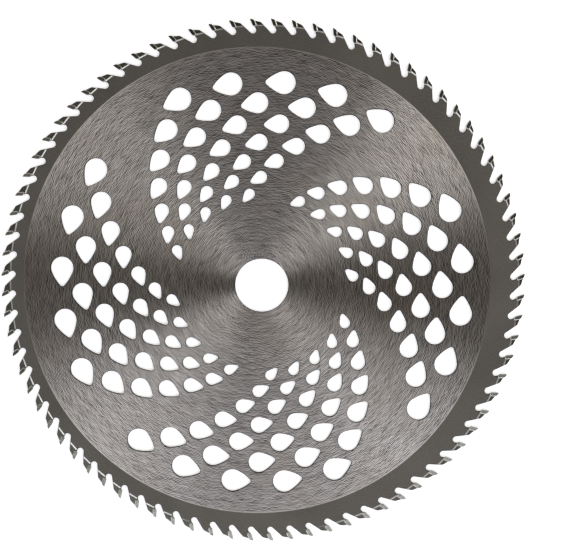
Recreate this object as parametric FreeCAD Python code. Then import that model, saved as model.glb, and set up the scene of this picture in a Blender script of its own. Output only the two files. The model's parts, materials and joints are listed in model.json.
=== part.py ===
# Brush cutter blade: a thin round steel plate with eighty tungsten carbide tips brazed into its rim
# and seven rings of drop-shaped lightening holes round a one inch bore.
# Millimetres and degrees. The bore's axis is Z and the plate's middle plane is z = 0.
# Seen from +Z the blade turns anticlockwise, so each tooth's rake face looks anticlockwise.
import FreeCAD
import Part
import math
import os

# Plate and bore
BLADE_RADIUS = 125.0
PLATE_THICKNESS = 1.4
BORE_RADIUS = 12.7
BORE_CHAMFER = 0.2

# Teeth
TOOTH_COUNT = 80
FIRST_TIP_ANGLE = 2.56
HOOK_ANGLE = 21.0
CLEARANCE_ANGLE = 16.0
LAND_LENGTH = 5.4
HEEL_RADIUS = 1.6
FRONT_WALL_LENGTH = 1.15
FRONT_WALL_LEAN = 30.0
GULLET_RADIUS = 1.58

# Carbide tips, which stand a little proud of the steel on both faces and on the land
TIP_THICKNESS = 1.4
TIP_LENGTH = 3.9
TIP_WIDTH = 2.0
TIP_STAND = 0.25
TIP_BEVEL = 10.0
FOOT_CHAMFER_RAKE = 0.7
FOOT_CHAMFER_FLOOR = 0.6
SIDE_CLEARANCE_DOWN = 1.5
SIDE_CLEARANCE_BACK = 2.5

# Lightening holes: drops with a big end, a small end and two bowed flanks, in rings of four groups.
# The first figure is the outermost ring's, and each ring further in loses the fall once more.
# The rings run in from the whole rim band to the hub, which the clamping flanges need whole.
RIM_BAND = 28.95
HUB_RADIUS = 40.0
RING_GAP = 9.87
RING_GAP_FALL = 0.464
RING_ANGLE = 53.7
RING_TURN = 7.52
RING_TURN_FALL = 0.08
GROUP_TURNS = (0.0, 91.4, 177.8, 268.0)
HOLES_PER_GROUP = 5
HOLE_PITCH = 15.0
HOLE_RADIUS = 5.41
HOLE_RADIUS_FALL = 0.483
HOLE_END_RADIUS = 1.45
HOLE_END_RADIUS_FALL = 0.07
HOLE_LENGTH = 14.2
HOLE_LENGTH_FALL = 1.16
FLANK_RADIUS = 21.0
# Where each ring's drops point, anticlockwise from straight outwards
HOLE_LEANS = (94.0, 101.0, 100.0, 103.0, 116.0, 116.0, 133.0)

# The rounds of the teeth and drops are short flats that stray no further than this from the round.
ROUND_ERROR = 0.12

UP = FreeCAD.Vector(0.0, 0.0, 1.0)
CENTRE = FreeCAD.Vector(0.0, 0.0, 0.0)
TOOTH_PITCH = 360.0 / TOOTH_COUNT


def heading(angle):
    """Unit vector in the plate's plane, anticlockwise from +X."""
    return FreeCAD.Vector(math.cos(math.radians(angle)), math.sin(math.radians(angle)), 0.0)


def turned(vector, angle):
    """The vector turned anticlockwise about the bore's axis."""
    return FreeCAD.Rotation(UP, angle).multVec(vector)


def left_of(direction):
    return turned(direction, 90.0)


def crossing(point, direction, other_point, other_direction):
    """Where two lines in the plate's plane meet."""
    across = left_of(other_direction)
    run = (other_point - point).dot(across) / direction.dot(across)
    return point + direction * run


def bearing(vector):
    return math.degrees(math.atan2(vector.y, vector.x))


def round_points(centre, start, sweep):
    """Points round an arc from its start to its end, anticlockwise where the sweep is positive."""
    spoke = start - centre
    widest = math.degrees(2.0 * math.acos(1.0 - ROUND_ERROR / spoke.Length))
    flats = math.ceil(abs(sweep) / widest)
    return [centre + turned(spoke, sweep * step / flats) for step in range(flats + 1)]


def outline_face(points):
    return Part.Face(Part.makePolygon(points + points[:1]))


def plate_of(face, thickness):
    """A flat face made solid, half of it on each side of the middle plane."""
    solid = face.extrude(UP * thickness)
    solid.translate(UP * (-thickness / 2.0))
    return solid


# One tooth, drawn with its cutting corner on +X, so that the rim runs on towards +Y.
CORNER = heading(0.0) * BLADE_RADIUS
RAKE_DOWN = heading(180.0 + HOOK_ANGLE)
INTO_TOOTH = left_of(RAKE_DOWN)
LAND_BACK = turned(heading(-90.0), -CLEARANCE_ANGLE)
LAND_INWARD = turned(LAND_BACK, -90.0)

SEAT_CORNER = CORNER + RAKE_DOWN * TIP_LENGTH + INTO_TOOTH * TIP_THICKNESS
SEAT_FRONT = SEAT_CORNER - INTO_TOOTH * (TIP_THICKNESS - FOOT_CHAMFER_FLOOR)
LAND_START = CORNER + LAND_INWARD * TIP_STAND
SEAT_TOP = crossing(SEAT_CORNER, RAKE_DOWN, LAND_START, LAND_BACK)
HEEL = LAND_START + LAND_BACK * LAND_LENGTH


def gullet():
    """The round floor of one gullet and the round heel of the next tooth, joined by the gullet's back."""
    wall = heading(180.0 + FRONT_WALL_LEAN)
    floor_start = SEAT_FRONT + wall * FRONT_WALL_LENGTH
    centre = floor_start - left_of(wall) * GULLET_RADIUS

    # The back is the tangent from the next heel to the far side of the round floor.
    next_heel = turned(HEEL, TOOTH_PITCH)
    reach = next_heel - centre
    end_bearing = bearing(reach) + math.degrees(math.acos(GULLET_RADIUS / reach.Length))
    sweep = (bearing(floor_start - centre) - end_bearing) % 360.0
    floor_end = centre + heading(end_bearing) * GULLET_RADIUS

    # The heel is rounded between the gullet's back and the next tooth's land.
    back = heading(bearing(next_heel - floor_end))
    land = turned(LAND_BACK, TOOTH_PITCH + 180.0)
    heel_turn = (bearing(land) - bearing(back)) % 360.0
    cut_back = HEEL_RADIUS * math.tan(math.radians(heel_turn / 2.0))
    round_start = next_heel - back * cut_back
    round_centre = round_start + left_of(back) * HEEL_RADIUS
    return round_points(centre, floor_start, -sweep) + round_points(round_centre, round_start, heel_turn)


def rim_outline():
    """The toothed rim: the same seat, gullet and heel once for each tooth."""
    unit = [SEAT_TOP, SEAT_CORNER, SEAT_FRONT] + gullet()
    outline = []
    for tooth in range(TOOTH_COUNT):
        outline += [turned(point, FIRST_TIP_ANGLE + tooth * TOOTH_PITCH) for point in unit]
    return outline


def drop_outline(centre, direction, big_radius, end_radius, length):
    """A drop: its big end lies round the centre and its small end in the given direction."""
    end_centre = centre + direction * (length - big_radius - end_radius)
    span = (end_centre - centre).Length

    # Each flank is an arc that touches both round ends from outside.
    to_big = FLANK_RADIUS - big_radius
    to_end = FLANK_RADIUS - end_radius
    along = (to_big ** 2 - to_end ** 2 + span ** 2) / (2.0 * span)
    aside = math.sqrt(to_big ** 2 - along ** 2)
    right_flank = centre + direction * along + left_of(direction) * aside
    left_flank = centre + direction * along - left_of(direction) * aside
    flank_sweep = bearing(end_centre - right_flank) - bearing(centre - right_flank)
    flank_sweep = flank_sweep % 360.0

    # The four arcs run anticlockwise, from where the big end meets the right flank.
    right_start = right_flank + (centre - right_flank).normalize() * FLANK_RADIUS
    end_start = right_flank + (end_centre - right_flank).normalize() * FLANK_RADIUS
    left_start = left_flank + (end_centre - left_flank).normalize() * FLANK_RADIUS
    big_start = left_flank + (centre - left_flank).normalize() * FLANK_RADIUS
    end_sweep = (bearing(left_start - end_centre) - bearing(end_start - end_centre)) % 360.0
    big_sweep = 360.0 - end_sweep - 2.0 * flank_sweep
    rounds = round_points(right_flank, right_start, flank_sweep)[:-1]
    rounds += round_points(end_centre, end_start, end_sweep)[:-1]
    rounds += round_points(left_flank, left_start, flank_sweep)[:-1]
    rounds += round_points(centre, big_start, big_sweep)[:-1]
    return rounds


def lightening_holes():
    """A face for each drop, ring by ring from the outermost."""
    holes = []
    radius = BLADE_RADIUS - RIM_BAND
    angle = RING_ANGLE
    for ring, lean in enumerate(HOLE_LEANS):
        if radius < HUB_RADIUS:
            break
        for group_turn in GROUP_TURNS:
            for hole in range(HOLES_PER_GROUP):
                place = angle + group_turn + hole * HOLE_PITCH
                outline = drop_outline(
                    heading(place) * radius,
                    heading(place + lean),
                    HOLE_RADIUS - ring * HOLE_RADIUS_FALL,
                    HOLE_END_RADIUS - ring * HOLE_END_RADIUS_FALL,
                    HOLE_LENGTH - ring * HOLE_LENGTH_FALL)
                holes.append(outline_face(outline))
        radius -= RING_GAP - ring * RING_GAP_FALL
        angle += RING_TURN - ring * RING_TURN_FALL
    return holes


def bore_cutters():
    """The bore and the small chamfer at each end of it."""
    half = PLATE_THICKNESS / 2.0
    start = FreeCAD.Vector(0.0, 0.0, -half)
    cutters = [Part.makeCylinder(BORE_RADIUS, PLATE_THICKNESS, start, UP)]
    for side in (1.0, -1.0):
        mouth = UP * (side * half)
        wide = BORE_RADIUS + BORE_CHAMFER
        cutters.append(Part.makeCone(wide, BORE_RADIUS, BORE_CHAMFER, mouth, UP * -side))
    return cutters


def blade_plate():
    face = outline_face(rim_outline()).cut(lightening_holes())
    return plate_of(face, PLATE_THICKNESS).cut(bore_cutters())


def cut_beyond(solid, point, normal):
    """Takes off what lies past the plane through the point, on the side its normal looks to."""
    size = 4.0 * (TIP_LENGTH + TIP_THICKNESS + TIP_WIDTH)
    block = Part.makeBox(size, size, size, FreeCAD.Vector(-size / 2.0, -size / 2.0, 0.0))
    block.Placement = FreeCAD.Placement(point, FreeCAD.Rotation(UP, normal))
    return solid.cut(block)


def carbide_tip(high_side):
    """One tip on its seat, with its top bevelled down from the high side of the blade."""
    foot = CORNER + RAKE_DOWN * (TIP_LENGTH - FOOT_CHAMFER_RAKE)
    land_end = crossing(SEAT_CORNER, RAKE_DOWN, CORNER, LAND_BACK)
    tip = plate_of(outline_face([CORNER, land_end, SEAT_CORNER, SEAT_FRONT, foot]), TIP_WIDTH)

    half = TIP_WIDTH / 2.0
    bevel = FreeCAD.Rotation(LAND_BACK, high_side * TIP_BEVEL)
    tip = cut_beyond(tip, CORNER + UP * (high_side * half), bevel.multVec(-LAND_INWARD))

    # Both sides run narrower down the rake face and back from it.
    down = math.tan(math.radians(SIDE_CLEARANCE_DOWN))
    back = math.tan(math.radians(SIDE_CLEARANCE_BACK))
    for side in (1.0, -1.0):
        normal = UP * side + RAKE_DOWN * down + INTO_TOOTH * back
        tip = cut_beyond(tip, CORNER + UP * (side * half), normal)
    return tip


def carbide_tips(first_tooth, high_side):
    """Every second tip, from the given tooth on."""
    pattern = carbide_tip(high_side)
    tips = []
    for tooth in range(first_tooth, TOOTH_COUNT, 2):
        tip = pattern.copy()
        tip.rotate(CENTRE, UP, FIRST_TIP_ANGLE + tooth * TOOTH_PITCH)
        tips.append(tip)
    return Part.makeCompound(tips)


os.makedirs("parts", exist_ok=True)
blade_plate().exportStep("parts/blade_plate.step")
carbide_tips(0, 1.0).exportStep("parts/carbide_tips_upper_bevel.step")
carbide_tips(1, -1.0).exportStep("parts/carbide_tips_lower_bevel.step")
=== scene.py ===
import bmesh
import bpy
import cmath
import json
import math
from types import SimpleNamespace
from bpy.props import FloatProperty, FloatVectorProperty, IntProperty, PointerProperty
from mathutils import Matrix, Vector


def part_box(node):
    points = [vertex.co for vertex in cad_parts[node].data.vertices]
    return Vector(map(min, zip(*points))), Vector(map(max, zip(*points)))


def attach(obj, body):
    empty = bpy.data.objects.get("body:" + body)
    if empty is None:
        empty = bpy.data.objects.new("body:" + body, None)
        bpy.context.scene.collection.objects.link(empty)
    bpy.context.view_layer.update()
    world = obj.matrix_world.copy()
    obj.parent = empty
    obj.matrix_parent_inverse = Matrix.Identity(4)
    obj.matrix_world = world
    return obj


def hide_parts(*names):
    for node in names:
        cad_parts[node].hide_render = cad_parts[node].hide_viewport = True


# Dresses a brush cutter blade: the steel plate with its teeth and drop-shaped holes, the carbide tips, the
# silver solder that holds them and a pale floor. Metres and radians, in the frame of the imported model.
bl_info = {
    "name": "Brush cutter blade",
    "version": (1, 0, 0),
    "blender": (4, 5, 0),
    "location": "3D View > Sidebar > Blade",
    "description": "Builds a carbide tipped brush cutter blade and its finishes",
    "category": "Object",
}

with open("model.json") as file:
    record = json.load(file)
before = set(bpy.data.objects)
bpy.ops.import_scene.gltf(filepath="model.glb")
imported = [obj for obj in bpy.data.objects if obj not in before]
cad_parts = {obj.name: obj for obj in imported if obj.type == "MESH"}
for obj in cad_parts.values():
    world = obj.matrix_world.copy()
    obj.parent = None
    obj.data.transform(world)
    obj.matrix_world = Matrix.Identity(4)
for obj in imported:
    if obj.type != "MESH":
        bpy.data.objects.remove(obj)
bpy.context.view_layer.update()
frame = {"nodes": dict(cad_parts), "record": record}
PLATE_LOW, PLATE_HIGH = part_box("blade_plate")
FLOOR_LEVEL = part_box("carbide_tips_upper_bevel")[0].z
BORE = [mount for mount in frame["record"]["mounts"] if mount["name"] == "arbor_bore"][0]

MM = 0.001
DEGREE = math.radians(1.0)

# The parts of the outline mesh, by the number that its points carry
TOOTH, DROPS, BORE_EDGE, GROUND_EDGE = 0, 1, 2, 3

# The groups of drops that follow the first
LATER_GROUPS = ("Second group", "Third group", "Fourth group")

# The widest step from point to point round an arc: the usual one, and those of single outlines
ARC_STEP = 7.5 * DEGREE
DROP_END_STEP = 12.0 * DEGREE
BORE_STEP = 3.0 * DEGREE
GROUND_EDGE_STEP = 1.5 * DEGREE

# Points nearer than this become one: between two teeth, between faces and walls, and in the finished piece
TOOTH_JOIN = 2e-6
WALL_JOIN = 1e-6
PIECE_JOIN = 0.5e-6

# A face of the plate whose normal rises or falls by less than this is a wall or a bevel
FACE_UPRIGHT = 0.95

# The solder's cross-section: how far out in widths, and how high over the steel in heights
SOLDER_SECTION = ((-0.3, -0.6), (-0.3, 1.0), (0.2, 0.95), (0.7, 0.5), (1.0, -0.6))
SOLDER_STEPS_BACK = 5
SOLDER_STEPS_FLOOR = 2

# The lots of grinding scratches: centre beside the ground face's own, width and length in millimetres, seed,
# and share in the finish. The centres differ, as when a blade shifts on the table between two passes. The
# real scratches are finer than 0.1 mm: they are drawn wider, so that a picture shows them.
SCRATCH_LOTS = (((12.0, -9.43), 0.64, 2.8, 5000.0, 0.36), ((-14.0, 11.57), 0.68, 3.0, 9000.0, 0.36),
                ((0.0, 0.0), 0.7, 4.0, 0.0, 0.42))

# Soft boxes on a dome about the bore: name, bearing round the blade, lean from upright and power in watts
LAMPS = (("upper_right_lamp", 35.5, 54.0, 4.8), ("upper_left_lamp", 147.0, 40.0, 1.65),
         ("lower_left_lamp", 233.0, 38.0, 2.5), ("low_lamp", 286.0, 34.0, 1.95),
         ("lower_right_lamp", 316.0, 55.0, 2.6))
LAMP_SIDE = 0.5
WARM_LIGHT = (1.0, 0.99, 0.97)
COOL_LIGHT = (0.96, 0.985, 1.07)
ROOM_LIGHT = (0.057, 0.04, 0.021, 1.0)


def colour(hex_code):
    """An sRGB hex value as linear red, green, blue and alpha."""
    parts = [int(hex_code[place:place + 2], 16) / 255.0 for place in (1, 3, 5)]
    linear = [part / 12.92 if part <= 0.04045 else ((part + 0.055) / 1.055) ** 2.4 for part in parts]
    return (*linear, 1.0)


def a_length(name, description, millimetres):
    return FloatProperty(name=name, description=description, default=millimetres * MM, unit="LENGTH",
                         precision=5)


def an_angle(name, description, degrees):
    return FloatProperty(name=name, description=description, default=degrees * DEGREE, subtype="ANGLE")


def a_place(name, description, x, y):
    return FloatVectorProperty(name=name, description=description, default=(x * MM, y * MM), size=2,
                               unit="LENGTH")


def a_colour(name, description, hex_code):
    return FloatVectorProperty(name=name, description=description, default=colour(hex_code), size=4,
                               min=0.0, max=1.0, subtype="COLOR")


class PlateSizes(bpy.types.PropertyGroup):
    thickness: a_length("Thickness", "Thickness of the sheet", (PLATE_HIGH.z - PLATE_LOW.z) / MM)
    bore_radius: a_length("Bore radius", "Radius of the arbor bore", BORE["dims"]["r_mm"])
    edge_break: a_length("Edge break", "Width of the bevel along every cut edge", 0.27)
    ground_radius: a_length("Ground radius", "Radius of the face ground in circles", 111.6)
    ground_offset: a_place("Ground offset", "Where that face is centred, beside the bore's centre",
                           -2.64, 0.43)


class ToothSizes(bpy.types.PropertyGroup):
    count: IntProperty(name="Teeth", description="Number of teeth", default=80, min=8)
    first: an_angle("First tooth", "Where the first cutting corner stands", 2.56)
    tip_circle: a_length("Tip circle", "Radius of the circle of cutting corners", 125.0)
    hook: an_angle("Hook", "How far the rake face leans forwards", 21.0)
    clearance: an_angle("Clearance", "How far the land falls away behind the corner", 16.0)
    land: a_length("Land", "Length of the land from corner to heel", 5.4)
    heel: a_length("Heel", "Radius of the rounded heel", 1.6)
    wall: a_length("Front wall", "Straight run below the seat", 1.15)
    wall_lean: an_angle("Front wall lean", "How far that run leans from straight down", 30.0)
    gullet: a_length("Gullet", "Radius of the gullet's floor", 1.58)
    tip_thickness: a_length("Tip thickness", "Carbide behind the rake face", 1.4)
    tip_length: a_length("Tip length", "Carbide down the rake face", 3.9)
    tip_stand: a_length("Tip stand", "How far the carbide stands over the steel land", 0.25)
    foot: a_length("Foot chamfer", "Chamfer along the foot of the carbide", 0.6)
    # The bright line round the teeth is a painted highlight; these set its circle and its strength by
    # bearing.
    highlight_line_radius: a_length("Bright line", "Radius of the painted highlight line round the teeth", 121.38)
    highlight_line_offset: a_place("Bright line offset", "Where that line is centred, beside the bore's centre",
                         0.8, 0.4)
    highlight_strong_bearing: an_angle("Bright line's deep side", "Where that line is deepest", 130.0)
    highlight_gap_bearing: an_angle("Bright line's end", "Where that line runs out", 268.0)


class DropSizes(bpy.types.PropertyGroup):
    rings: IntProperty(name="Rings", description="Number of rings of drops", default=7, min=1, max=7)
    rim_band: a_length("Rim band", "From the tip circle to the first ring", 28.95)
    gap: a_length("Ring gap", "From the first ring to the second", 9.87)
    gap_fall: a_length("Ring gap fall", "What each gap further in loses", 0.464)
    start: an_angle("Ring start", "Where the first ring's first drop stands", 53.7)
    turn: an_angle("Ring turn", "From the first ring's start to the second's", 7.52)
    turn_fall: an_angle("Ring turn fall", "What each turn further in loses", 0.08)
    per_group: IntProperty(name="Drops per group", description="Drops side by side in a group", default=5)
    pitch: an_angle("Pitch", "Angle from one drop of a group to the next", 15.0)
    group_2: an_angle("Second group", "Turn of the second group", 91.4)
    group_3: an_angle("Third group", "Turn of the third group", 177.8)
    group_4: an_angle("Fourth group", "Turn of the fourth group", 268.0)
    radius: a_length("Drop radius", "Big end of the first ring's drops", 5.41)
    radius_fall: a_length("Drop radius fall", "What each ring further in loses", 0.483)
    end_radius: a_length("Drop end radius", "Small end of the first ring's drops", 1.45)
    end_radius_fall: a_length("Drop end radius fall", "What each ring further in loses", 0.07)
    length: a_length("Drop length", "Length of the first ring's drops", 14.2)
    length_fall: a_length("Drop length fall", "What each ring further in loses", 1.16)
    flank: a_length("Flank radius", "Bow of the two flanks", 21.0)
    leans: FloatVectorProperty(
        name="Leans", description="Where each ring's drops point, from straight outwards", size=7,
        default=tuple(lean * DEGREE for lean in (94, 101, 100, 103, 116, 116, 133)), unit="ROTATION")


class SolderSizes(bpy.types.PropertyGroup):
    width: a_length("Width", "How far the solder runs out on the steel", 0.42)
    height: a_length("Height", "How high it climbs up the side of the carbide", 0.13)
    unevenness: a_length("Unevenness", "How far its edge wanders", 0.12)


class Finishes(bpy.types.PropertyGroup):
    # The ground steel's tone runs between these two: the grain of the marks, the painted light and shade of
    # their flanks and a painted highlight along the ground face's edge.
    ground_dark: a_colour("Ground steel, dark", "Floor of the grinding marks", "#2E2B29")
    ground_light: a_colour("Ground steel, light", "Crests of the grinding marks", "#CAC5BF")
    ground_tint: a_colour("Ground steel, tint", "Faint warm patches", "#8F8274")
    blasted: a_colour("Blasted rim", "Matt dark steel of the rim", "#5E5B55")
    tooth_side: a_colour("Ground tooth side", "Side of a tooth beyond the bright line", "#4B4942")
    # Colour of the painted highlight line round the teeth.
    tooth_line_highlight: a_colour("Bright line", "Painted highlight line round the teeth", "#FAFAF8")
    # The cut walls and bevels are drawn dark.
    cut_edge: a_colour("Laser cut edge", "Dark colour of the cut walls and bevels", "#272421")
    solder: a_colour("Silver solder", "Bright solder beside the tips", "#BAB8B1")
    carbide: a_colour("Tungsten carbide", "Ground carbide", "#74746C")
    floor: a_colour("Floor", "Pale floor under the blade", "#F4F4F4")


class StageSettings(bpy.types.PropertyGroup):
    distance: a_length("Camera distance", "From the bore's centre to the lens", 400.0)
    tilt: an_angle("Camera tilt", "How far the camera leans back over the top edge", -4.068)
    sway: an_angle("Camera sway", "How far the camera leans to the side", 0.926)
    focal: FloatProperty(name="Focal length", description="In pixels of the image", default=836.1)
    image_width: IntProperty(name="Image width", description="In pixels", default=569)
    image_height: IntProperty(name="Image height", description="In pixels", default=542)
    centre: FloatVectorProperty(name="Bore's centre", description="Where the image shows the bore's centre, "
                                "in pixels from the upper left", default=(261.8, 285.2), size=2)
    floor_radius: a_length("Floor radius", "Flat part of the floor", 2200.0)
    bend_radius: a_length("Bend radius", "Bend from the floor up into the wall", 800.0)
    wall_height: a_length("Wall height", "Wall above the bend", 500.0)


class BladeSettings(bpy.types.PropertyGroup):
    plate: PointerProperty(type=PlateSizes)
    teeth: PointerProperty(type=ToothSizes)
    drops: PointerProperty(type=DropSizes)
    solder: PointerProperty(type=SolderSizes)
    finishes: PointerProperty(type=Finishes)
    stage: PointerProperty(type=StageSettings)


# Outlines in the plate's plane. A point or a direction is a complex number, x + iy.

def heading(angle):
    return cmath.rect(1.0, angle)


def dot(a, b):
    return (a * b.conjugate()).real


def flat_vector(point):
    """A point or direction of the plate's plane as x, y and z."""
    return (point.real, point.imag, 0.0)


def crossing(point, direction, other_point, other_direction):
    """Where two lines meet."""
    across = other_direction * 1j
    return point + direction * dot(other_point - point, across) / dot(direction, across)


def round_points(centre, start, sweep, widest=ARC_STEP):
    """Points round an arc, anticlockwise where the sweep is positive."""
    steps = max(2, math.ceil(abs(sweep) / widest))
    return [centre + (start - centre) * heading(sweep * step / steps) for step in range(steps + 1)]


def tooth_lines(teeth):
    """Corner, seat and land of the tooth whose cutting corner is on +X."""
    corner = complex(teeth.tip_circle, 0.0)
    down = heading(math.pi + teeth.hook)
    into = down * 1j
    back = heading(-math.pi / 2.0 - teeth.clearance)
    seat = corner + down * teeth.tip_length + into * teeth.tip_thickness
    front = seat - into * (teeth.tip_thickness - teeth.foot)
    land = corner - back * 1j * teeth.tip_stand
    top = crossing(seat, down, land, back)
    heel = land + back * teeth.land
    return SimpleNamespace(down=down, into=into, back=back, seat=seat, front=front, top=top, heel=heel)


def tooth_outline(teeth):
    """From the top of one seat round the gullet to the top of the next tooth's seat."""
    lines = tooth_lines(teeth)
    pitch = heading(math.tau / teeth.count)
    wall = heading(math.pi + teeth.wall_lean)
    floor_start = lines.front + wall * teeth.wall
    centre = floor_start - wall * 1j * teeth.gullet
    heel = lines.heel * pitch
    reach = heel - centre
    end_bearing = cmath.phase(reach) + math.acos(teeth.gullet / abs(reach))
    sweep = (cmath.phase(floor_start - centre) - end_bearing) % math.tau
    floor_end = centre + heading(end_bearing) * teeth.gullet
    back = heading(cmath.phase(heel - floor_end))
    land = -lines.back * pitch
    heel_turn = cmath.phase(land / back) % math.tau
    heel_start = heel - back * teeth.heel * math.tan(heel_turn / 2.0)
    heel_centre = heel_start + back * 1j * teeth.heel
    points = [lines.top, lines.seat, lines.front]
    points += round_points(centre, floor_start, -sweep)
    points += round_points(heel_centre, heel_start, heel_turn)
    return points + [lines.top * pitch]


def drop_outline(drops, ring, radius, place):
    """One drop of a ring, anticlockwise from where its big end meets the right flank."""
    big = drops.radius - ring * drops.radius_fall
    end = drops.end_radius - ring * drops.end_radius_fall
    span = drops.length - ring * drops.length_fall - big - end
    centre = heading(place) * radius
    direction = heading(place + drops.leans[ring])
    end_centre = centre + direction * span
    along = ((drops.flank - big) ** 2 - (drops.flank - end) ** 2 + span ** 2) / (2.0 * span)
    aside = math.sqrt((drops.flank - big) ** 2 - along ** 2)
    right = centre + direction * complex(along, aside)
    left = centre + direction * complex(along, -aside)
    flank_sweep = cmath.phase((end_centre - right) / (centre - right)) % math.tau
    right_start = right + heading(cmath.phase(centre - right)) * drops.flank
    end_start = right + heading(cmath.phase(end_centre - right)) * drops.flank
    left_start = left + heading(cmath.phase(end_centre - left)) * drops.flank
    big_start = left + heading(cmath.phase(centre - left)) * drops.flank
    end_sweep = cmath.phase((left_start - end_centre) / (end_start - end_centre)) % math.tau
    points = round_points(right, right_start, flank_sweep)[:-1]
    points += round_points(end_centre, end_start, end_sweep, DROP_END_STEP)[:-1]
    points += round_points(left, left_start, flank_sweep)[:-1]
    return points + round_points(centre, big_start, math.tau - end_sweep - 2.0 * flank_sweep)[:-1]


def arm_of_drops(teeth, drops):
    """One drop of each ring, which the groups repeat round the bore."""
    radius = teeth.tip_circle - drops.rim_band
    place = drops.start
    outlines = []
    for ring in range(drops.rings):
        outlines.append(drop_outline(drops, ring, radius, place))
        radius -= drops.gap - ring * drops.gap_fall
        place += drops.turn - ring * drops.turn_fall
    return outlines


def into_steel(points, steel_side, ahead=None, behind=None):
    """For each point of an outline, the unit direction into the steel: +1 is its left, -1 its right."""
    ahead = points[0] if ahead is None else ahead
    behind = points[-1] if behind is None else behind
    line = [behind] + points + [ahead]
    directions = []
    for before, here, after in zip(line, line[1:], line[2:]):
        way = (here - before) / abs(here - before) + (after - here) / abs(after - here)
        directions.append(way / abs(way) * 1j * steel_side)
    return directions


def add_directions(mesh, name, directions):
    """Gives each point of the mesh its direction in the plate's plane."""
    flat = [part for direction in directions for part in flat_vector(direction)]
    mesh.attributes.new(name, "FLOAT_VECTOR", "POINT").data.foreach_set("vector", flat)


def outline_mesh(plate, teeth, drops):
    """Loose edges: one tooth, one arm of drops, the bore and the edge of the ground face."""
    pitch = heading(math.tau / teeth.count)
    tooth = tooth_outline(teeth)
    loops = [(TOOTH, tooth, into_steel(tooth, 1.0, tooth[1] * pitch, tooth[-2] / pitch), False)]
    for drop in arm_of_drops(teeth, drops):
        loops.append((DROPS, drop, into_steel(drop, -1.0), True))
    bore = round_points(0.0, complex(plate.bore_radius, 0.0), math.tau, BORE_STEP)[:-1]
    loops.append((BORE_EDGE, bore, into_steel(bore, -1.0), True))
    offset = complex(*plate.ground_offset)
    ground = round_points(offset, offset + plate.ground_radius, math.tau, GROUND_EDGE_STEP)[:-1]
    loops.append((GROUND_EDGE, ground, [0j] * len(ground), True))

    points, edges, kinds, inward = [], [], [], []
    for kind, outline, directions, closed in loops:
        first = len(points)
        points += [flat_vector(point) for point in outline]
        inward += directions
        kinds += [kind] * len(outline)
        edges += [(first + step, first + step + 1) for step in range(len(outline) - 1)]
        if closed:
            edges.append((len(points) - 1, first))
    mesh = bpy.data.meshes.new("blade_outline")
    mesh.from_pydata(points, edges, [])
    mesh.attributes.new("kind", "INT", "POINT").data.foreach_set("value", kinds)
    add_directions(mesh, "into_steel", inward)
    return mesh


def solder_mesh(plate, teeth, solder):
    """One tooth's solder: an uneven fillet round the back and floor of the seat, on both faces."""
    lines = tooth_lines(teeth)
    down, into, seat, front = lines.down, lines.into, lines.seat, lines.front
    start = lines.top + down * solder.width
    path = [start + (seat - start) * step / SOLDER_STEPS_BACK for step in range(SOLDER_STEPS_BACK)]
    path += [seat + (front - seat) * step / SOLDER_STEPS_FLOOR for step in range(SOLDER_STEPS_FLOOR + 1)]
    ways = [into] * SOLDER_STEPS_BACK + [(into + down) / abs(into + down)] + [down] * SOLDER_STEPS_FLOOR
    ring = len(SOLDER_SECTION)
    points, faces, reach = [], [], []
    for side in (1.0, -1.0):
        first = len(points)
        for point, way in zip(path, ways):
            for out, high in SOLDER_SECTION:
                spot = point + way * (out * solder.width)
                points.append((spot.real, spot.imag, side * (plate.thickness / 2.0 + high * solder.height)))
                reach.append(way * max(out, 0.0))
        for step in range(len(path) - 1):
            for corner in range(ring):
                a = first + step * ring + corner
                b = first + step * ring + (corner + 1) % ring
                faces.append((a, b, b + ring, a + ring))
        faces.append(tuple(range(first, first + ring)))
        faces.append(tuple(range(len(points) - ring, len(points))))
    mesh = bpy.data.meshes.new("solder_outline")
    mesh.from_pydata(points, [], faces)
    add_directions(mesh, "reach", reach)
    return mesh


# Node trees

# Kinds of node and settings that come often
MATH = "ShaderNodeMath"
VECTOR_MATH = "ShaderNodeVectorMath"
MAP_RANGE = "ShaderNodeMapRange"
NOISE = "ShaderNodeTexNoise"
ATTRIBUTE = "GeometryNodeInputNamedAttribute"
COMBINE = "ShaderNodeCombineXYZ"
JOIN = "GeometryNodeJoinGeometry"
MULTIPLY = {"operation": "MULTIPLY"}
MULTIPLY_ADD = {"operation": "MULTIPLY_ADD"}
SMOOTH = {"interpolation_type": "SMOOTHSTEP"}


def add(tree, kind, settings=None, inputs=None):
    """Adds a node, sets its properties and sets or links its inputs, by name or by number.

    A node given as an input stands for its first output in use, and a list for one link after another.
    """
    node = tree.nodes.new(kind)
    for name, value in (settings or {}).items():
        setattr(node, name, value)
    for key, value in (inputs or {}).items():
        usable = [socket for socket in node.inputs if socket.enabled]
        socket = node.inputs[key] if isinstance(key, int) else [s for s in usable if s.name == key][0]
        for source in value if isinstance(value, list) else [value]:
            if isinstance(source, bpy.types.Node):
                source = [output for output in source.outputs if output.enabled][0]
            if isinstance(source, bpy.types.NodeSocket):
                tree.links.new(source, socket)
            else:
                socket.default_value = source
    return node


def geometry_tree(name, inputs):
    """A tree with a geometry input, named inputs by their type and a geometry output, and its inputs."""
    tree = bpy.data.node_groups.new(name, "GeometryNodeTree")
    tree.interface.new_socket("Geometry", in_out="INPUT", socket_type="NodeSocketGeometry")
    tree.interface.new_socket("Geometry", in_out="OUTPUT", socket_type="NodeSocketGeometry")
    for kind, names in inputs.items():
        for socket_name in names:
            tree.interface.new_socket(socket_name, in_out="INPUT", socket_type="NodeSocket" + kind)
    return tree, add(tree, "NodeGroupInput").outputs


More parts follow.
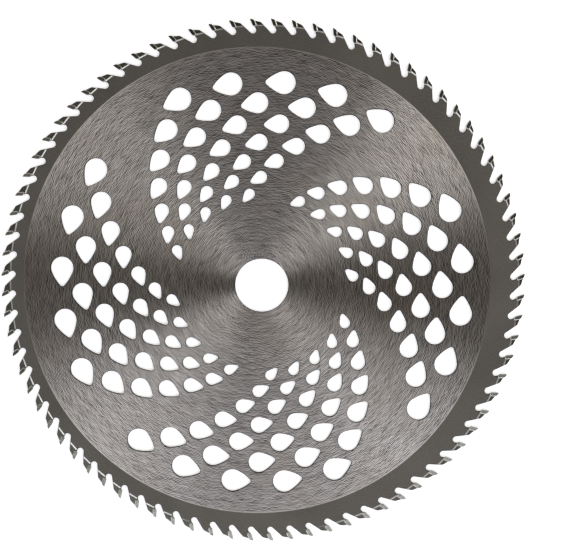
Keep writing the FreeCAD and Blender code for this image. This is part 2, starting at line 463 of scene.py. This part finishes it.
def made_plain(name, mesh, tree, values):
    """Runs the tree on the mesh with the given values and keeps the result as a plain mesh."""
    piece = bpy.data.objects.new(name, mesh)
    bpy.context.scene.collection.objects.link(piece)
    modifier = piece.modifiers.new(name, "NODES")
    modifier.node_group = tree
    for item in tree.interface.items_tree:
        if item.in_out == "INPUT" and item.name in values:
            modifier[item.identifier] = values[item.name]
    evaluated = piece.evaluated_get(bpy.context.evaluated_depsgraph_get())
    result = bpy.data.meshes.new_from_object(evaluated)
    piece.modifiers.clear()
    piece.data = result
    result.name = name
    return piece


def closed_and_outward(mesh, sharp_angle):
    """Joins the mesh's doubles, turns its faces outwards and keeps its sharp edges sharp."""
    shell = bmesh.new()
    shell.from_mesh(mesh)
    bmesh.ops.remove_doubles(shell, verts=shell.verts, dist=PIECE_JOIN)
    bmesh.ops.recalc_face_normals(shell, faces=shell.faces)
    open_edges = sum(1 for edge in shell.edges if len(edge.link_faces) != 2)
    shell.to_mesh(mesh)
    shell.free()
    if open_edges:
        raise RuntimeError(f"{mesh.name} has {open_edges} edges without two faces")
    mesh.shade_smooth()
    mesh.set_sharp_from_angle(angle=sharp_angle)


def of_kind(tree, geometry, number):
    """Those points of the outline mesh that carry the number, with their edges."""
    kind = add(tree, ATTRIBUTE, {"data_type": "INT"}, {"Name": "kind"})
    chosen = add(tree, "FunctionNodeCompare", {"data_type": "INT", "operation": "EQUAL"},
                 {"A": kind, "B": number})
    return add(tree, "GeometryNodeSeparateGeometry", {"domain": "POINT"},
               {"Geometry": geometry, "Selection": chosen})


def tooth_turn(tree, given):
    """The turn of each tooth about the bore, by its number."""
    index = add(tree, "GeometryNodeInputIndex")
    pitch = add(tree, MATH, {"operation": "DIVIDE"}, {0: math.tau, 1: given["Teeth"]})
    return add(tree, MATH, MULTIPLY_ADD, {0: index, 1: pitch, 2: given["First tooth"]})


def arm_turn(tree, given):
    """The turn of each arm of drops about the bore: its place within its group, from that group's turn."""
    index = add(tree, "GeometryNodeInputIndex")
    share = add(tree, MATH, {"operation": "DIVIDE"}, {0: index, 1: given["Drops per group"]})
    group = add(tree, MATH, {"operation": "FLOOR"}, {0: share})
    within = add(tree, MATH, {"operation": "FLOORED_MODULO"}, {0: index, 1: given["Drops per group"]})
    group_turn = add(tree, "GeometryNodeIndexSwitch", {"data_type": "FLOAT"}, {0: group})
    group_turn.index_switch_items.new()
    group_turn.index_switch_items.new()
    for place, name in enumerate(LATER_GROUPS, start=2):
        tree.links.new(given[name], group_turn.inputs[place])
    return add(tree, MATH, MULTIPLY_ADD, {0: within, 1: given["Pitch"], 2: group_turn})


def turned_copies(tree, shape, count, turn):
    """That many copies of a shape, each turned about the bore. Each keeps its turn as an attribute."""
    points = add(tree, "GeometryNodePoints", None, {"Count": count})
    marked = add(tree, "GeometryNodeStoreNamedAttribute", {"data_type": "FLOAT", "domain": "POINT"},
                 {"Geometry": points, "Name": "turn", "Value": turn})
    own_turn = add(tree, ATTRIBUTE, {"data_type": "FLOAT"}, {"Name": "turn"})
    spin = add(tree, COMBINE, None, {"Z": own_turn})
    copies = add(tree, "GeometryNodeInstanceOnPoints", None,
                 {"Points": marked, "Instance": shape, "Rotation": spin})
    return add(tree, "GeometryNodeRealizeInstances", None, {"Geometry": copies})


def turned_direction(tree, name):
    """The direction that a point carries under that name, turned along with its copy."""
    own_way = add(tree, ATTRIBUTE, {"data_type": "FLOAT_VECTOR"}, {"Name": name})
    own_turn = add(tree, ATTRIBUTE, {"data_type": "FLOAT"}, {"Name": "turn"})
    return add(tree, "ShaderNodeVectorRotate", {"rotation_type": "Z_AXIS"},
               {"Vector": own_way, "Angle": own_turn})


def plate_tree():
    """Repeats the tooth and the arm of drops round the bore, fills the faces and closes the walls."""
    tree, given = geometry_tree("repeat_and_fill_plate", {
        "Int": ("Teeth", "Drops per group"),
        "Float": ("First tooth", "Pitch", *LATER_GROUPS, "Thickness", "Edge break"),
        "Material": ("Ground steel", "Blasted steel", "Cut edge")})
    outline = given["Geometry"]
    teeth = turned_copies(tree, of_kind(tree, outline, TOOTH), given["Teeth"], tooth_turn(tree, given))
    teeth = add(tree, "GeometryNodeMergeByDistance", None, {"Geometry": teeth, "Distance": TOOTH_JOIN})
    arms = add(tree, MATH, MULTIPLY, {0: given["Drops per group"], 1: 1.0 + len(LATER_GROUPS)})
    drops = turned_copies(tree, of_kind(tree, outline, DROPS), arms, arm_turn(tree, given))
    cut = add(tree, JOIN, None, {"Geometry": [teeth, drops, of_kind(tree, outline, BORE_EDGE)]})

    # The direction into the steel leads from each cut edge to the top of its bevel.
    shift = add(tree, VECTOR_MATH, {"operation": "SCALE"},
                {0: turned_direction(tree, "into_steel"), "Scale": given["Edge break"]})
    stored = add(tree, "GeometryNodeStoreNamedAttribute", {"data_type": "FLOAT_VECTOR", "domain": "POINT"},
                 {"Geometry": cut, "Name": "bevel", "Value": shift})
    bevel = add(tree, ATTRIBUTE, {"data_type": "FLOAT_VECTOR"}, {"Name": "bevel"})
    bevel_top = add(tree, "GeometryNodeSetPosition", None, {"Geometry": stored, "Offset": bevel})

    # Ground face between the drops, and blasted rim out to the teeth
    sheets = []
    for numbers, blasted in (((DROPS, BORE_EDGE), False), ((TOOTH,), True)):
        edges = [of_kind(tree, outline, GROUND_EDGE)]
        edges += [of_kind(tree, bevel_top, number) for number in numbers]
        region = add(tree, JOIN, None, {"Geometry": edges})
        curves = add(tree, "GeometryNodeMeshToCurve", None, {"Mesh": region})
        filled = add(tree, "GeometryNodeFillCurve", {"mode": "TRIANGLES"}, {"Curve": curves})
        sheet = add(tree, "GeometryNodeStoreNamedAttribute", {"data_type": "BOOLEAN", "domain": "FACE"},
                    {"Geometry": filled, "Name": "blasted", "Value": blasted})
        sheets.append(sheet)
    face = add(tree, JOIN, None, {"Geometry": sheets})
    half = add(tree, MATH, MULTIPLY, {0: given["Thickness"], 1: 0.5})
    up = add(tree, COMBINE, None, {"Z": half})
    down = add(tree, VECTOR_MATH, {"operation": "SCALE"}, {0: up, "Scale": -1.0})
    top = add(tree, "GeometryNodeTransform", None, {"Geometry": face, "Translation": up})
    under = add(tree, "GeometryNodeTransform", None, {"Geometry": face, "Translation": down})

    # Walls: a bevel down from the top face, the straight wall and a bevel in to the under face
    drop = add(tree, MATH, MULTIPLY, {0: given["Edge break"], 1: -1.0})
    step = add(tree, COMBINE, None, {"Z": drop})
    outwards = add(tree, VECTOR_MATH, {"operation": "SUBTRACT"}, {0: step, 1: bevel})
    inwards = add(tree, VECTOR_MATH, {"operation": "ADD"}, {0: step, 1: bevel})
    bevels = add(tree, MATH, MULTIPLY, {0: given["Edge break"], 1: 2.0})
    straight = add(tree, MATH, {"operation": "SUBTRACT"}, {0: bevels, 1: given["Thickness"]})
    straight_down = add(tree, COMBINE, None, {"Z": straight})
    walls = add(tree, "GeometryNodeSetPosition", None, {"Geometry": bevel_top, "Offset": up})
    leading = True
    for offset in (outwards, straight_down, inwards):
        extruded = add(tree, "GeometryNodeExtrudeMesh", {"mode": "EDGES"},
                       {"Mesh": walls, "Selection": leading, "Offset Scale": 0.0})
        leading = extruded.outputs["Top"]
        walls = add(tree, "GeometryNodeSetPosition", None,
                    {"Geometry": extruded.outputs["Mesh"], "Selection": leading, "Offset": offset})

    whole = add(tree, JOIN, None, {"Geometry": [top, under, walls]})
    closed = add(tree, "GeometryNodeMergeByDistance", None, {"Geometry": whole, "Distance": WALL_JOIN})
    finished = add(tree, "GeometryNodeRealizeInstances", None, {"Geometry": closed})
    on_rim = add(tree, ATTRIBUTE, {"data_type": "BOOLEAN"}, {"Name": "blasted"})
    normal = add(tree, "ShaderNodeSeparateXYZ", None, {"Vector": add(tree, "GeometryNodeInputNormal")})
    upright = add(tree, MATH, {"operation": "ABSOLUTE"}, {0: normal.outputs["Z"]})
    on_wall = add(tree, "FunctionNodeCompare", {"data_type": "FLOAT", "operation": "LESS_THAN"},
                  {"A": upright, "B": FACE_UPRIGHT})
    for chosen, name in ((True, "Ground steel"), (on_rim, "Blasted steel"), (on_wall, "Cut edge")):
        finished = add(tree, "GeometryNodeSetMaterial", None,
                       {"Geometry": finished, "Selection": chosen, "Material": given[name]})
    add(tree, "NodeGroupOutput", None, {"Geometry": finished})
    return tree


def solder_tree():
    """Repeats the solder at every tooth and lets its edge wander."""
    tree, given = geometry_tree("repeat_solder", {
        "Int": ("Teeth",), "Float": ("First tooth", "Unevenness"), "Material": ("Solder",)})
    lumps_a_metre, noise_middle, noise_spread = 900.0, 0.45, 4.0
    real = turned_copies(tree, given["Geometry"], given["Teeth"], tooth_turn(tree, given))
    noise = add(tree, NOISE, None, {"Scale": lumps_a_metre, "Detail": 1.0})
    centred = add(tree, MATH, {"operation": "SUBTRACT"}, {0: noise, 1: noise_middle})
    amount = add(tree, MATH, MULTIPLY, {0: centred, 1: given["Unevenness"]})
    wander = add(tree, MATH, MULTIPLY, {0: amount, 1: noise_spread})
    offset = add(tree, VECTOR_MATH, {"operation": "SCALE"},
                 {0: turned_direction(tree, "reach"), "Scale": wander})
    uneven = add(tree, "GeometryNodeSetPosition", None, {"Geometry": real, "Offset": offset})
    finished = add(tree, "GeometryNodeSetMaterial", None, {"Geometry": uneven, "Material": given["Solder"]})
    add(tree, "NodeGroupOutput", None, {"Geometry": finished})
    return tree


# Materials

def material(name):
    """An empty node material and its tree."""
    made = bpy.data.materials.new(name)
    made.use_nodes = True
    made.node_tree.nodes.clear()
    return made, made.node_tree


def surfaced(made, inputs):
    """The material with a Principled surface of those inputs."""
    shader = add(made.node_tree, "ShaderNodeBsdfPrincipled", None, inputs)
    add(made.node_tree, "ShaderNodeOutputMaterial", None, {"Surface": shader})
    return made


def placed(tree, x=0.0, y=0.0):
    """The point in the plate's plane, from a centre that stands that far from the bore's."""
    coordinates = add(tree, "ShaderNodeTexCoord").outputs["Object"]
    vector = add(tree, VECTOR_MATH, {"operation": "SUBTRACT"}, {0: coordinates, 1: (x, y, 0.0)})
    return add(tree, VECTOR_MATH, MULTIPLY, {0: vector, 1: (1.0, 1.0, 0.0)})


def toned(tree, tone, pattern, low, high):
    """A colour scaled from low to high by a noise, most of which lies between 0.3 and 0.7."""
    level = add(tree, MAP_RANGE, None,
                {"Value": pattern, "From Min": 0.3, "From Max": 0.7, "To Min": low, "To Max": high})
    return add(tree, VECTOR_MATH, {"operation": "SCALE"}, {0: tone[:3], "Scale": level})


def streaks(tree, x, y, spacing, reach, seed):
    """Noise drawn out round a centre: marks of the given spacing across and of the given length along."""
    flat = placed(tree, x, y)
    radius = add(tree, VECTOR_MATH, {"operation": "LENGTH"}, {0: flat})
    along = add(tree, VECTOR_MATH, {"operation": "SCALE"}, {0: flat, "Scale": 1.0 / reach})
    across = add(tree, MATH, {"operation": "DIVIDE"}, {0: radius, 1: spacing})
    level = add(tree, MATH, {"operation": "ADD"}, {0: across, 1: seed})
    lift = add(tree, COMBINE, None, {"Z": level})
    place = add(tree, VECTOR_MATH, {"operation": "ADD"}, {0: along, 1: lift})
    return add(tree, NOISE, None, {"Vector": place, "Scale": 1.0, "Detail": 1.0, "Roughness": 0.6})


def scratches(tree, x, y, width, length, seed):
    """Short arcs round a centre, each a painted highlight on one flank beside painted shade on the other,
    which fade to 0.5 at both ends.
    """
    wander_spacing, wander_depth = 30.0 * MM, 8.0 * MM
    flat = placed(tree, x, y)
    radius = add(tree, VECTOR_MATH, {"operation": "LENGTH"}, {0: flat})
    bend = add(tree, NOISE, None, {"Vector": flat, "Scale": 1.0 / wander_spacing, "Detail": 0.0})
    wander = add(tree, MATH, MULTIPLY, {0: bend, 1: wander_depth})
    bent = add(tree, MATH, {"operation": "ADD"}, {0: radius, 1: wander})

    # Rows one inside the other, cut into marks, each with its own depth
    across = add(tree, MATH, {"operation": "DIVIDE"}, {0: bent, 1: width})
    row = add(tree, MATH, {"operation": "FLOOR"}, {0: across})
    row_seed = add(tree, MATH, {"operation": "ADD"}, {0: row, 1: seed})
    shift = add(tree, "ShaderNodeTexWhiteNoise", {"noise_dimensions": "1D"}, {"W": row_seed})
    sides = add(tree, "ShaderNodeSeparateXYZ", None, {"Vector": flat}).outputs
    bearing = add(tree, MATH, {"operation": "ARCTAN2"}, {0: sides["Y"], 1: sides["X"]})
    turn = add(tree, MATH, MULTIPLY, {0: bearing, 1: width / length})
    along = add(tree, MATH, MULTIPLY_ADD, {0: turn, 1: row, 2: shift})
    mark = add(tree, MATH, {"operation": "FLOOR"}, {0: along})
    cell = add(tree, COMBINE, None, {"X": row_seed, "Y": mark})
    depth = add(tree, "ShaderNodeTexWhiteNoise", {"noise_dimensions": "2D"}, {"Vector": cell})

    # A wave across, which swells from nothing and back along the mark: its bright half is a painted
    # highlight on one flank, its dark half painted shade on the other
    part = add(tree, MATH, {"operation": "FRACT"}, {0: along})
    swell = add(tree, MATH, MULTIPLY, {0: part, 1: math.pi})
    fade = add(tree, MATH, {"operation": "SINE"}, {0: swell})
    wave = add(tree, MATH, MULTIPLY, {0: across, 1: math.tau})
    flank = add(tree, MATH, {"operation": "SINE"}, {0: wave})
    painted_flank_light = add(tree, MATH, MULTIPLY, {0: flank, 1: fade})
    half = add(tree, MATH, MULTIPLY, {0: painted_flank_light, 1: 0.5})
    return add(tree, MATH, MULTIPLY_ADD, {0: half, 1: depth, 2: 0.5})


def ground_steel(plate, finishes):
    """Saw steel ground flat on a turning table: short round scratches, and light that runs out in fans."""
    made, tree = material("circle_ground_saw_steel")
    own_x, own_y = plate.ground_offset
    flat = placed(tree, own_x, own_y)
    soft_share = 0.25
    marks = 0.0
    # Each lot of scratches adds random tone and painted light and shade on its flanks; the marks also drive
    # the bump.
    for (x, y), width, length, seed, share in SCRATCH_LOTS:
        lot = scratches(tree, own_x + x * MM, own_y + y * MM, width * MM, length * MM, seed)
        marks = add(tree, MATH, MULTIPLY_ADD, {0: lot, 1: share, 2: marks})
    soft = streaks(tree, own_x, own_y, spacing=0.8 * MM, reach=6.0 * MM, seed=3.0)
    marks = add(tree, MATH, MULTIPLY_ADD, {0: soft, 1: soft_share, 2: marks})
    spread = add(tree, MAP_RANGE, None, {"Value": marks, "From Min": 0.577, "From Max": 0.827})

    # A fine painted highlight runs all along the edge of the ground face.
    radius = add(tree, VECTOR_MATH, {"operation": "LENGTH"}, {0: flat})
    edge_highlight = add(tree, MAP_RANGE, SMOOTH,
                  {"Value": radius, "From Min": plate.ground_radius - 0.7 * MM,
                   "From Max": plate.ground_radius - 0.3 * MM, "To Max": 0.7})
    spread = add(tree, "ShaderNodeMix", {"data_type": "FLOAT"}, {"Factor": edge_highlight, "A": spread, "B": 0.8})
    tone = add(tree, "ShaderNodeMix", {"data_type": "RGBA"},
               {"Factor": spread, "A": finishes.ground_dark, "B": finishes.ground_light})
    patches = add(tree, NOISE, None, {"Vector": flat, "Scale": 1.0 / (45.5 * MM), "Detail": 2.0})
    patch = add(tree, MAP_RANGE, None, {"Value": patches, "From Min": 0.5, "From Max": 0.75, "To Max": 0.35})
    tinted = add(tree, "ShaderNodeMix", {"data_type": "RGBA"},
                 {"Factor": patch, "A": tone, "B": finishes.ground_tint})
    bump = add(tree, "ShaderNodeBump", None, {"Height": marks, "Strength": 0.2, "Distance": 0.01 * MM})
    outward = add(tree, VECTOR_MATH, {"operation": "NORMALIZE"}, {0: flat})
    return surfaced(made, {"Base Color": tinted, "Normal": bump, "Tangent": outward,
                           "Metallic": 1.0, "Roughness": 0.4, "Anisotropic": 0.86})


def painted_line_strength(tree, teeth, outward):
    """How strong the painted highlight line is, by bearing: strongest on one side and on the slants, none
    near one bearing.
    """
    slant_gain, least = 5.0, 0.3
    facing = add(tree, VECTOR_MATH, {"operation": "DOT_PRODUCT"},
                 {0: outward, 1: flat_vector(heading(teeth.highlight_strong_bearing))})
    depth = add(tree, MAP_RANGE, None,
                {"Value": facing, "From Min": -1.0, "From Max": 0.0, "To Min": 0.35, "To Max": 1.0})
    sides = add(tree, "ShaderNodeSeparateXYZ", None, {"Vector": outward}).outputs
    slant = add(tree, MATH, MULTIPLY, {0: sides["X"], 1: sides["Y"]})
    slant = add(tree, MATH, MULTIPLY, {0: slant, 1: slant})
    slant_strength = add(tree, MATH, {"operation": "MULTIPLY_ADD", "use_clamp": True},
                 {0: slant, 1: slant_gain, 2: least})
    toward_gap = add(tree, VECTOR_MATH, {"operation": "DOT_PRODUCT"},
                 {0: outward, 1: flat_vector(heading(teeth.highlight_gap_bearing))})
    outside_gap = add(tree, MAP_RANGE, SMOOTH,
               {"Value": toward_gap, "From Min": 0.93, "From Max": 0.98, "To Min": 1.0, "To Max": 0.0})
    return depth, slant_strength, outside_gap


def blasted_steel(teeth, finishes):
    """Saw steel blasted with fine grit: dark, matt and even. The teeth's sides are ground beyond a line,
    which is a painted highlight.
    """
    made, tree = material("grit_blasted_saw_steel")
    flat = placed(tree)
    grain = add(tree, NOISE, None,
                {"Vector": flat, "Scale": 1.0 / (0.8 * MM), "Detail": 2.0, "Roughness": 0.7})
    cloud = add(tree, NOISE, None, {"Vector": flat, "Scale": 1.0 / (33.3 * MM), "Detail": 2.0})
    mottled = add(tree, "ShaderNodeMix", {"data_type": "FLOAT"}, {"Factor": 0.4, "A": grain, "B": cloud})
    rim = toned(tree, finishes.blasted, mottled, 0.75, 1.25)

    # The teeth's sides are ground beyond one circle, a little off centre. Along that circle runs a fine
    # white line, a painted highlight.
    radius = add(tree, VECTOR_MATH, {"operation": "LENGTH"}, {0: placed(tree, *teeth.highlight_line_offset)})
    beyond = add(tree, MAP_RANGE, SMOOTH,
                 {"Value": radius, "From Min": teeth.highlight_line_radius - 0.1 * MM,
                  "From Max": teeth.highlight_line_radius + 0.1 * MM})
    tooth_side = toned(tree, finishes.tooth_side, grain, 0.6, 1.4)
    sides = add(tree, "ShaderNodeMix", {"data_type": "RGBA"}, {"Factor": beyond, "A": rim, "B": tooth_side})
    off_line = add(tree, MATH, {"operation": "SUBTRACT"}, {0: radius, 1: teeth.highlight_line_radius})
    off_line = add(tree, MATH, {"operation": "ABSOLUTE"}, {0: off_line})
    on_line = add(tree, MAP_RANGE, SMOOTH,
                  {"Value": off_line, "From Min": 0.22 * MM, "From Max": 0.36 * MM,
                   "To Min": 1.0, "To Max": 0.0})
    # Grain breaks up the painted highlight line.
    highlight_breakup = add(tree, MAP_RANGE, None,
               {"Value": grain, "From Min": 0.3, "From Max": 0.55, "To Min": 0.6, "To Max": 1.0})
    outward = add(tree, VECTOR_MATH, {"operation": "NORMALIZE"}, {0: flat})
    # How much the painted highlight line shows: its strength by bearing, its width and its break-up.
    line_highlight = 1.0
    for factor in painted_line_strength(tree, teeth, outward) + (on_line, highlight_breakup):
        line_highlight = add(tree, MATH, MULTIPLY, {0: line_highlight, 1: factor})
    lined = add(tree, "ShaderNodeMix", {"data_type": "RGBA"},
                {"Factor": line_highlight, "A": sides, "B": finishes.tooth_line_highlight})
    rough = add(tree, MAP_RANGE, None, {"Value": beyond, "To Min": 0.62, "To Max": 0.38})
    bump = add(tree, "ShaderNodeBump", None, {"Height": grain, "Strength": 0.3, "Distance": 0.03 * MM})
    # The painted highlight line is made less metallic, so that it shows whiter.
    metal = add(tree, MAP_RANGE, None, {"Value": line_highlight, "To Min": 1.0, "To Max": 0.3})
    return surfaced(made, {"Base Color": lined, "Roughness": rough, "Normal": bump, "Metallic": metal})


def cut_edge(finishes):
    """Laser cut steel walls and bevels: dark, with fine upright lines from the beam."""
    made, tree = material("laser_cut_steel_edge")
    lines = add(tree, NOISE, None, {"Vector": placed(tree), "Scale": 1.0 / (0.5 * MM), "Detail": 1.0})
    bump = add(tree, "ShaderNodeBump", None, {"Height": lines, "Strength": 0.4, "Distance": 0.03 * MM})
    return surfaced(made, {"Base Color": toned(tree, finishes.cut_edge, lines, 0.7, 1.3), "Normal": bump,
                           "Metallic": 0.85, "Roughness": 0.55})


def silver_solder(finishes):
    """Silver solder as it froze: bright and slightly lumpy."""
    made, tree = material("silver_solder")
    lumps = add(tree, NOISE, None, {"Vector": placed(tree), "Scale": 1.0 / (0.6 * MM), "Detail": 2.0})
    bump = add(tree, "ShaderNodeBump", None, {"Height": lumps, "Strength": 0.5, "Distance": 0.04 * MM})
    return surfaced(made, {"Base Color": toned(tree, finishes.solder, lumps, 0.7, 1.1), "Normal": bump,
                           "Metallic": 1.0, "Roughness": 0.35})


def ground_carbide(finishes):
    """Tungsten carbide off the diamond wheel: dense grey metal with a fine satin of marks."""
    made, tree = material("diamond_ground_tungsten_carbide")
    marks = streaks(tree, 0.0, 0.0, spacing=0.4 * MM, reach=3.0 * MM, seed=11.0)
    bump = add(tree, "ShaderNodeBump", None, {"Height": marks, "Strength": 0.3, "Distance": 0.01 * MM})
    return surfaced(made, {"Base Color": toned(tree, finishes.carbide, marks, 0.6, 1.3), "Normal": bump,
                           "Metallic": 1.0, "Roughness": 0.27})


def pale_floor(finishes):
    """Matt white paper: it shows white to the eye and in metal, and keeps the blade's shadow near it."""
    made, tree = material("matt_paper_sweep")
    rays = add(tree, "ShaderNodeLightPath").outputs
    seen = add(tree, MATH, {"operation": "MAXIMUM"}, {0: rays["Is Camera Ray"], 1: rays["Is Glossy Ray"]})
    seen = add(tree, MATH, {"operation": "MAXIMUM"}, {0: seen, 1: rays["Is Transmission Ray"]})
    radius = add(tree, VECTOR_MATH, {"operation": "LENGTH"}, {0: placed(tree)})
    level = add(tree, MAP_RANGE, None,
                {"Value": radius, "From Min": 0.2, "From Max": 0.6, "To Min": 0.48, "To Max": 1.0})
    glow = add(tree, MATH, MULTIPLY, {0: seen, 1: level})
    return surfaced(made, {"Base Color": finishes.floor, "Roughness": 0.95, "Emission Strength": glow})


# Stage

def sweep_mesh(stage, around=72, bend_steps=8):
    """A round floor that sweeps up into a wall all the way round, so that no side view meets an edge."""
    bend, wall_radius = stage.bend_radius, stage.floor_radius + stage.bend_radius
    turns = [math.pi / 2.0 * step / bend_steps for step in range(bend_steps + 1)]
    profile = [(stage.floor_radius + bend * math.sin(turn), bend - bend * math.cos(turn)) for turn in turns]
    profile.append((wall_radius, bend + stage.wall_height))
    points, faces = [], [tuple(range(around))]
    for ring, (radius, height) in enumerate(profile):
        for step in range(around):
            spot = heading(math.tau * step / around) * radius
            points.append((spot.real, spot.imag, FLOOR_LEVEL + height))
            if ring:
                above, beside = ring * around + step, ring * around + (step + 1) % around
                faces.append((beside - around, above - around, above, beside))
    mesh = bpy.data.meshes.new("paper_sweep")
    mesh.from_pydata(points, [], faces)
    mesh.shade_smooth()
    return mesh


def hang_lamp(scene, name, bearing, lean, power):
    """A square soft box a metre from the bore, which faces it: warm above the blade's middle, cool below."""
    data = bpy.data.lights.new(name, "AREA")
    data.shape = "SQUARE"
    data.size = LAMP_SIDE
    data.energy = power
    data.color = WARM_LIGHT if math.sin(bearing) > 0.0 else COOL_LIGHT
    lamp = bpy.data.objects.new(name, data)
    out = heading(bearing) * math.sin(lean)
    lamp.location = (out.real, out.imag, math.cos(lean))
    lamp.rotation_euler = (lean, 0.0, bearing + math.pi / 2.0)
    scene.collection.objects.link(lamp)


def set_camera(scene, stage):
    """Stands the camera where the image shows the bore at its place and the blade at its lean."""
    data = bpy.data.cameras.new("camera")
    data.lens = stage.focal / stage.image_width * data.sensor_width
    data.shift_x = (stage.image_width / 2.0 - stage.centre[0]) / stage.image_width
    data.shift_y = (stage.centre[1] - stage.image_height / 2.0) / stage.image_width
    data.clip_start = 0.01
    camera = bpy.data.objects.new("camera", data)
    camera.rotation_euler = (stage.tilt, stage.sway, 0.0)
    camera.location = camera.rotation_euler.to_matrix().col[2] * stage.distance
    scene.collection.objects.link(camera)
    scene.camera = camera


class BLADE_OT_plate(bpy.types.Operator):
    """Builds the steel plate with its teeth, drops and bore"""
    bl_idname = "blade.plate"
    bl_label = "Steel plate"

    def execute(self, context):
        blade = context.scene.blade
        plate, teeth, drops = blade.plate, blade.teeth, blade.drops
        values = {
            "Teeth": teeth.count, "First tooth": teeth.first, "Drops per group": drops.per_group,
            "Pitch": drops.pitch, "Second group": drops.group_2, "Third group": drops.group_3,
            "Fourth group": drops.group_4, "Thickness": plate.thickness, "Edge break": plate.edge_break,
            "Ground steel": ground_steel(plate, blade.finishes),
            "Blasted steel": blasted_steel(teeth, blade.finishes),
            "Cut edge": cut_edge(blade.finishes)}
        piece = made_plain("steel_plate", outline_mesh(plate, teeth, drops), plate_tree(), values)
        closed_and_outward(piece.data, sharp_angle=25.0 * DEGREE)
        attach(piece, "root")
        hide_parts("blade_plate")
        return {"FINISHED"}


class BLADE_OT_tips(bpy.types.Operator):
    """Gives the carbide tips their finish"""
    bl_idname = "blade.tips"
    bl_label = "Carbide tips"

    def execute(self, context):
        finish = ground_carbide(context.scene.blade.finishes)
        for node in ("carbide_tips_upper_bevel", "carbide_tips_lower_bevel"):
            tips = frame["nodes"][node]
            if not tips.data.materials:
                tips.data.materials.append(finish)
            for slot in tips.material_slots:
                slot.material = finish
        return {"FINISHED"}


class BLADE_OT_solder(bpy.types.Operator):
    """Lays the silver solder round the seat of each tip"""
    bl_idname = "blade.solder"
    bl_label = "Silver solder"

    def execute(self, context):
        blade = context.scene.blade
        values = {"Teeth": blade.teeth.count, "First tooth": blade.teeth.first,
                  "Unevenness": blade.solder.unevenness, "Solder": silver_solder(blade.finishes)}
        mesh = solder_mesh(blade.plate, blade.teeth, blade.solder)
        piece = made_plain("silver_solder", mesh, solder_tree(), values)
        closed_and_outward(piece.data, sharp_angle=50.0 * DEGREE)
        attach(piece, "root")
        return {"FINISHED"}


class BLADE_OT_stage(bpy.types.Operator):
    """Lays the pale floor and sets the lamps, the world and the camera"""
    bl_idname = "blade.stage"
    bl_label = "Stage"

    def execute(self, context):
        scene = context.scene
        stage = scene.blade.stage
        sweep = bpy.data.objects.new("paper_sweep", sweep_mesh(stage))
        sweep.data.materials.append(pale_floor(scene.blade.finishes))
        scene.collection.objects.link(sweep)
        for name, bearing, lean, power in LAMPS:
            hang_lamp(scene, name, bearing * DEGREE, lean * DEGREE, power)
        world = bpy.data.worlds.new("studio")
        world.use_nodes = True
        world.node_tree.nodes["Background"].inputs["Color"].default_value = ROOM_LIGHT
        scene.world = world
        set_camera(scene, stage)
        scene.view_settings.view_transform = "Standard"
        return {"FINISHED"}


class BLADE_PT_panel(bpy.types.Panel):
    """Lists the blade's pieces and the stage"""
    bl_label = "Blade"
    bl_idname = "BLADE_PT_panel"
    bl_space_type = "VIEW_3D"
    bl_region_type = "UI"
    bl_category = "Blade"

    def draw(self, context):
        for operator in OPERATORS:
            self.layout.operator(operator.bl_idname)
        blade = context.scene.blade
        for group in (blade.plate, blade.teeth, blade.drops, blade.solder, blade.finishes, blade.stage):
            box = self.layout.box()
            for name in group.bl_rna.properties.keys():
                if name not in ("rna_type", "name"):
                    box.prop(group, name)


OPERATORS = (BLADE_OT_plate, BLADE_OT_tips, BLADE_OT_solder, BLADE_OT_stage)
CLASSES = (PlateSizes, ToothSizes, DropSizes, SolderSizes, Finishes, StageSettings,
           BladeSettings) + OPERATORS + (BLADE_PT_panel,)


def register():
    for cls in CLASSES:
        bpy.utils.register_class(cls)
    bpy.types.Scene.blade = PointerProperty(type=BladeSettings)


def unregister():
    del bpy.types.Scene.blade
    for cls in reversed(CLASSES):
        bpy.utils.unregister_class(cls)


def main():
    register()
    bpy.ops.blade.plate()
    bpy.ops.blade.tips()
    bpy.ops.blade.solder()
    bpy.ops.blade.stage()


if __name__ == "__main__":
    main()
